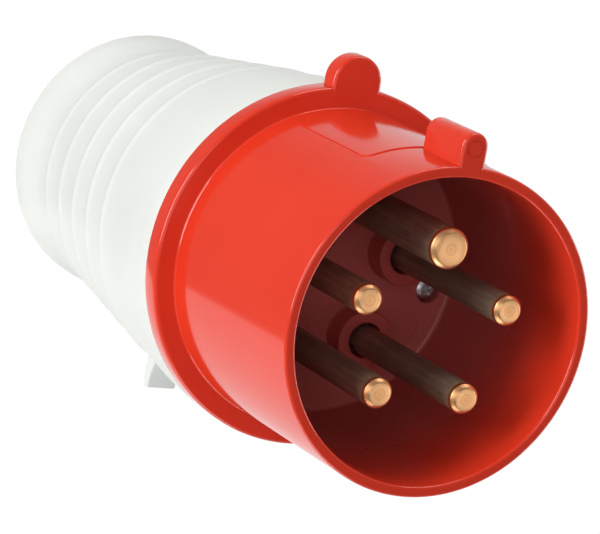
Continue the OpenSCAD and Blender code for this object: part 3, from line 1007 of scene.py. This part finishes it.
@dataclass
class Handle:
    """The white handle: a ribbed cone with a flared tail, the latch track and the gland's bores."""

    flare_r: float = 28.6
    waist_r: float = 27.4
    waist_z: float = 12.0
    tail_round: float = 1.4
    tail_len: float = 2.0
    waist_steps: int = 10
    rib_z: float = 18.0
    rib_pitch: float = 10.7
    rib_count: int = 5
    rib_h: float = 0.35
    rib_half: float = 1.9
    rib_steps: int = 6
    cone_steps: int = 7
    front_len: float = 4.0
    front_step: float = 0.1
    recess_r: float = 24.5
    recess_z: float = 8.0
    chamber_wall: float = 2.2
    throat_r: float = 12.4
    throat_t: float = 3.0
    wall: float = 3.5
    socket_r: float = 31.3
    ledge_r: float = 29.9
    track_w: float = 8.6
    track_z: float = 23.14
    track_depth: float = 2.85
    track_len: float = 76.0
    track_over: float = 3.0
    room_lift: float = 3.0
    thread_gap: float = 0.08

    def skin(self) -> list[Corner]:
        """Gives the outside from the tail to the flange, with its soft ribs."""
        corners: list[Corner] = [(self.flare_r, 0.0, self.tail_round)]
        start, steps = self.tail_round + self.tail_len, self.waist_steps
        for i in range(steps + 1):
            share = (1 + math.cos(math.pi * i / steps)) / 2
            corners.append((
                self.waist_r + (self.flare_r - self.waist_r) * share,
                start + (self.waist_z - start) * i / steps,
            ))
        corners.append((AT.cone_r0, AT.cone_z))
        steps = self.rib_steps
        for rib in range(self.rib_count):
            for i in range(-steps, steps + 1):
                z = self.rib_z + self.rib_pitch * rib + self.rib_half * i / steps
                corners.append((AT.cone_r(z) + self.rib_h * (1 - (i / steps) ** 2) ** 2, z))
        last, steps = corners[-1][1], self.cone_steps
        for i in range(1, steps + 1):
            z = last + (AT.cone_end_z - last) * i / steps
            corners.append((AT.cone_r(z), z))
        corners.append((AT.handle_front_r - self.front_step, AT.flange_back_z - self.front_len))
        return corners + [(AT.handle_front_r, AT.flange_back_z, 0.45)]

    def build(self) -> None:
        """Builds the piece and dresses it."""
        wall_r = AT.chamber_r + self.chamber_wall
        room_z = AT.chamber_z + self.room_lift
        bore_r = AT.thread_r + self.thread_gap
        throat_z = AT.seal_end_z + self.throat_t
        form = Form.turned([
            (self.recess_r, 0.0, 0.6), *self.skin(),
            (self.socket_r, AT.flange_back_z, 0.3), (self.socket_r, AT.ledge_z),
            (self.ledge_r, AT.ledge_z, 0.3), (AT.cone_r(room_z) - self.wall, room_z, 1.0),
            (wall_r, room_z, 0.6), (wall_r, throat_z, 0.4), (self.throat_r, throat_z, 0.3),
            (self.throat_r, AT.seal_end_z), (AT.chamber_r, AT.seal_end_z), (AT.chamber_r, AT.chamber_z),
            (bore_r, AT.chamber_z), (bore_r, self.recess_z, 0.4), (self.recess_r, self.recess_z, 0.5),
        ])
        depth = self.track_depth + self.track_over
        centre = (0.0, self.track_over - depth / 2, self.track_z + self.track_len / 2)
        form.cut(AT.on_cone(Form.block((self.track_w, depth, self.track_len), centre)))
        form.finish("handle_body", "plug", Finish.HANDLE, "handle")


@dataclass
class ReleaseLatch:
    """The slide that locks the handle to the shell, with its thumb tab."""

    width: float = 8.0
    tongue_w: float = 6.8
    top: float = -0.4
    bottom: float = -2.7
    tongue_top: float = -1.2
    tab_w: float = 6.8
    tab_t: float = 2.5
    hollow: float = 0.0388
    hollow_steps: int = 12
    bite: float = 2.2
    tongue_len: float = 20.0
    rail_tail: float = 4.0
    overlap: float = 1.0
    edge: float = 0.45

    def tab(self) -> Form:
        """Makes the thumb tab, whose front face is hollow."""
        root = AT.cone_r(AT.tab_z) - self.overlap
        tip, low, high = AT.reach_r, AT.tab_z, AT.tab_z + self.tab_t
        corners: list[Corner] = [(root, low), (tip, low, 0.5), (tip, high, 0.5)]
        for i in range(1, self.hollow_steps + 1):
            drop = (tip - root) * i / self.hollow_steps
            corners.append((tip - drop, high + self.hollow * drop * drop))
        return Form.slab(corners, -self.tab_w / 2, self.tab_w / 2, self.edge, 4).upright()

    def build(self) -> None:
        """Builds the piece and dresses it."""
        rail_z = AT.along(AT.tab_z) - self.rail_tail
        tongue_z = AT.along(AT.flange_back_z - self.tongue_len)
        nose_z = AT.along(AT.flange_back_z + self.bite)
        rail = Form.block(
            (self.width, self.top - self.bottom, tongue_z - rail_z),
            (0.0, (self.top + self.bottom) / 2, (tongue_z + rail_z) / 2), 0.35,
        )
        tongue = Form.block(
            (self.tongue_w, self.tongue_top - self.bottom, nose_z - tongue_z + self.overlap),
            (0.0, (self.tongue_top + self.bottom) / 2, (nose_z + tongue_z - self.overlap) / 2), 0.25,
        )
        form = AT.on_cone(rail.join(tongue)).join(self.tab())
        form.finish("latch_slide", "latch", Finish.LATCH, "release_latch")


# --- Cable gland ---


@dataclass
class CableGland:
    """The gland in the tail: a fluted nut, a slip ring and a ribbed rubber seal."""

    nut_z: float = 4.0
    grip_r: float = 22.5
    grip_h: float = 3.5
    hole_r: float = 12.0
    flare: float = 1.5
    flute_count: int = 12
    flute_r: float = 3.0
    flute_out: float = 1.4
    thread_pitch: float = 2.0
    thread_depth: float = 1.1
    ring_hole_r: float = 10.5
    seal_hole_r: float = 9.5
    seal_r: float = 16.2
    seal_rib_count: int = 6
    seal_rib_h: float = 0.4

    def nut(self) -> None:
        """Builds the gland nut."""
        nose_r, body_r = AT.chamber_r - 0.3, AT.thread_r - self.thread_depth
        end = AT.chamber_z - 0.5
        grip = self.nut_z + self.grip_h
        form = Form.turned([
            (self.hole_r + self.flare, self.nut_z, 0.5), (self.grip_r, self.nut_z, 0.6),
            (self.grip_r, grip, 0.5), (body_r, grip, 0.3), (body_r, end, 0.4), (nose_r, end),
            (nose_r, AT.slip_z, 0.4), (self.hole_r, AT.slip_z, 0.4),
            (self.hole_r, self.nut_z + self.flare, 0.8),
        ])
        for i in range(self.flute_count):
            high = self.grip_h - 0.5
            corners = [(0.0, -1.0), (self.flute_r, -1.0), (self.flute_r, high, 0.6), (0.0, high)]
            flute = Form.turned(corners, SMALL).move(self.grip_r + self.flute_out, 0.0, self.nut_z)
            form.cut(flute.turn(360 * i / self.flute_count))
        turns = (end - grip - 1.6) / self.thread_pitch
        form.add(Form.thread(body_r - 0.05, AT.thread_r, grip + 1.0, self.thread_pitch, turns))
        form.finish("nut_gland", "nut", Finish.NUT, "gland_nut")

    def ring(self) -> None:
        """Builds the slip ring between the nut and the seal."""
        outside = AT.chamber_r - 0.3
        form = Form.turned([
            (self.ring_hole_r, AT.slip_z, 0.35), (outside, AT.slip_z, 0.35),
            (outside, AT.seal_z, 0.35), (self.ring_hole_r, AT.seal_z, 0.35),
        ])
        form.finish("ring_slip", "slip", Finish.NUT, "slip_ring")

    def seal(self) -> None:
        """Builds the rubber seal, with ribs in its bore."""
        mouth, low, high = self.seal_hole_r + self.seal_rib_h, AT.seal_z, AT.seal_end_z
        corners: list[Corner] = [
            (mouth, low, 0.3), (self.seal_r, low, 0.5), (self.seal_r, high, 0.5), (mouth, high, 0.3)
        ]
        for i in range(1, SMALL):
            wave = (1 - math.cos(math.tau * self.seal_rib_count * i / SMALL)) / 2
            radius = self.seal_hole_r + self.seal_rib_h * (1 - wave)
            corners.append((radius, high - (high - low) * i / SMALL))
        form = Form.turned(corners, MEDIUM)
        form.finish("seal_cable", "plug", Finish.SEAL, "cable_seal")

    def build(self) -> None:
        """Builds the three pieces and dresses them."""
        self.nut()
        self.ring()
        self.seal()


# --- Dressed CAD nodes ---


@dataclass
class Insides:
    """The pieces that keep their CAD shape and get a finish."""

    nodes: dict[str, bpy.types.Object]

    def dress(self, finish: Finish, *names: str) -> None:
        """Gives CAD nodes a finish.

        Args:
            finish: The finish.
            *names: The nodes.
        """
        for name in names:
            node = self.nodes[name]
            material = WARDROBE.get(finish)
            if not node.material_slots:
                node.data.materials.append(material)
            for slot in node.material_slots:
                slot.material = material
            LOG.info("%s: dressed in %s", name, finish.value)

    def build(self) -> None:
        """Dresses the nodes."""
        self.dress(Finish.BLOCK, "contact_block")
        self.dress(Finish.SEAL, "joint_seal")
        self.dress(Finish.SPRING, "latch_spring")
        self.dress(Finish.SCREW, *sorted(n for n in self.nodes if "terminal_screw" in n))


# --- Studio ---


@dataclass(frozen=True)
class Lamp:
    """One soft lamp that looks at the plug."""

    name: str
    azimuth: float
    height: float
    width: float
    tall: float
    power: float
    distance: float = 1.5
    lit: str = ""
    aim: tuple[float, float, float] = (0.0, 0.0, 0.08)

    def build(self) -> None:
        """Hangs the lamp, for all pieces or for those whose names start with its word."""
        data = bpy.data.lights.new(self.name, "AREA")
        data.shape, data.size, data.size_y, data.energy = "RECTANGLE", self.width, self.tall, self.power
        lamp = show(self.name, data)
        turn, rise = math.radians(self.azimuth), math.radians(self.height)
        toward = Vector((math.cos(rise) * math.cos(turn), math.cos(rise) * math.sin(turn), math.sin(rise)))
        lamp.location = Vector(self.aim) + toward * self.distance
        lamp.rotation_euler = toward.to_track_quat("Z", "Y").to_euler()
        if self.lit:
            chosen = bpy.data.collections.new(f"lit_by_{self.name}")
            for piece in bpy.context.scene.objects:
                if piece.name.startswith(self.lit):
                    chosen.objects.link(piece)
            lamp.light_linking.receiver_collection = chosen


@dataclass
class Studio:
    """The floor, the lamps, the world and the camera."""

    floor_size: float = 6.0
    floor_colour: Colour = (0.70, 0.70, 0.69)
    floor_glow: float = 0.87
    glow: float = 1.1
    dim_side: float = 0.25
    bright_side: float = 1.15
    sharp_edge: tuple[float, float] = (25.0, 27.0)
    soft_edge: tuple[float, float] = (-130.0, -60.0)
    half_bright: float = 0.6
    horizon: float = 0.55
    ceiling: float = 0.15
    sky: tuple[float, float] = (0.05, 0.75)
    camera_spot: tuple[float, float, float] = (0.32604, -0.12998, 0.69611)
    camera_right: tuple[float, float, float] = (-0.88348, -0.17801, 0.43335)
    camera_up: tuple[float, float, float] = (0.07285, -0.96595, -0.24825)
    lens: float = 210.43
    sensor: float = 36.0
    lamps: Sequence[Lamp] = (
        Lamp("key", -14.0, 12.0, 1.0, 0.5, 13.5),
        Lamp("side", 80.0, 9.0, 1.0, 0.5, 6.5),
        Lamp("back", 170.0, 14.0, 1.2, 0.7, 8.0),
        Lamp("rim", -108.0, 6.0, 0.9, 0.4, 6.0),
        Lamp("tips", 158.3, 58.9, 0.16, 0.16, 1.1, lit="contact_"),
        Lamp("front", -20.0, 62.0, 1.0, 1.0, 4.0),
    )

    def floor(self) -> None:
        """Lays the plain pale floor: white to the eye, with the plug's shadow, and dim on one side
        to glossy faces.
        """
        bm = bmesh.new()
        bmesh.ops.create_grid(bm, x_segments=1, y_segments=1, size=self.floor_size / 2)
        mesh = bpy.data.meshes.new("floor")
        bm.to_mesh(mesh)
        bm.free()
        floor = show("floor", mesh)
        surface = Surface("pale_floor")
        surface.set(Base_Color=rgba(self.floor_colour), Roughness=0.9, Specular_IOR_Level=0.1)
        lit = Value(surface, surface.shader.outputs[0])
        x, y, _ = surface.axes(surface.place())
        turn = y.atan2(x) * (180 / math.pi)
        soft = self.half_bright - turn.step(*self.soft_edge) * self.half_bright
        open_side = turn.step(*self.sharp_edge).largest(soft)
        camera = surface.node("ShaderNodeLightPath", {}, output="Is Camera Ray")
        glossy = surface.node("ShaderNodeLightPath", {}, output="Is Glossy Ray")
        glow = surface.node("ShaderNodeEmission", {}, WHITE, self.glow)
        dim = surface.node("ShaderNodeEmission", {}, WHITE, self.dim_side)
        bright = surface.node("ShaderNodeEmission", {}, WHITE, self.bright_side)
        seen = surface.node("ShaderNodeMixShader", {}, camera * self.floor_glow, lit, glow)
        mirrored = surface.node("ShaderNodeMixShader", {}, open_side, dim, bright)
        both = surface.node("ShaderNodeMixShader", {}, glossy, seen, mirrored)
        surface.feed(surface.output.inputs["Surface"], both)
        mesh.materials.append(surface.material)

    def world(self) -> None:
        """Lights the studio from a pale horizon under a dim ceiling."""
        world = bpy.data.worlds.new("studio")
        world.use_nodes = True
        nodes = Nodes(world.node_tree)
        ground = world.node_tree.nodes["Background"]
        way = nodes.node("ShaderNodeTexCoord", {}, output="Object")
        rise = nodes.axes(way)[2]
        drop = self.horizon - self.ceiling
        nodes.feed(ground.inputs["Color"], WHITE)
        nodes.feed(ground.inputs["Strength"], self.horizon - rise.step(*self.sky) * drop)
        bpy.context.scene.world = world

    def camera(self) -> None:
        """Places the camera."""
        data = bpy.data.cameras.new("camera")
        data.lens, data.sensor_width = self.lens, self.sensor
        camera = show("camera", data)
        right, up = Vector(self.camera_right), Vector(self.camera_up)
        turn = Matrix((right, up, right.cross(up))).transposed()
        camera.matrix_world = Matrix.Translation(Vector(self.camera_spot)) @ turn.to_4x4()
        bpy.context.scene.camera = camera

    def build(self) -> None:
        """Builds the studio."""
        bpy.context.scene.view_settings.view_transform = "Standard"
        self.world()
        self.floor()
        for lamp in self.lamps:
            lamp.build()
        self.camera()
        LOG.info("studio: %d lamps", len(self.lamps))


def main() -> None:
    """Builds the plug's look piece by piece, then the studio."""
    logging.basicConfig(level=logging.INFO, format="%(name)s: %(message)s", stream=sys.stdout)
    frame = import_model()
    contacts = [
        Contact("earth_pin", 4.0, -90.0),
        Contact("line_pin_1", 3.0, -18.0),
        Contact("line_pin_2", 3.0, 54.0),
        Contact("line_pin_3", 3.0, 126.0),
        Contact("neutral_pin", 3.0, 198.0),
    ]
    screws = [BlockScrew("block_screw_left", -83.7), BlockScrew("block_screw_right", 83.7)]
    FrontShell([(*c.spot, c.radius) for c in contacts], [s.spot for s in screws]).build()
    for piece in (*contacts, *screws, Handle(), ReleaseLatch(), CableGland(), Insides(frame["nodes"])):
        piece.build()
    Studio().build()


if __name__ == "__main__":
    main()
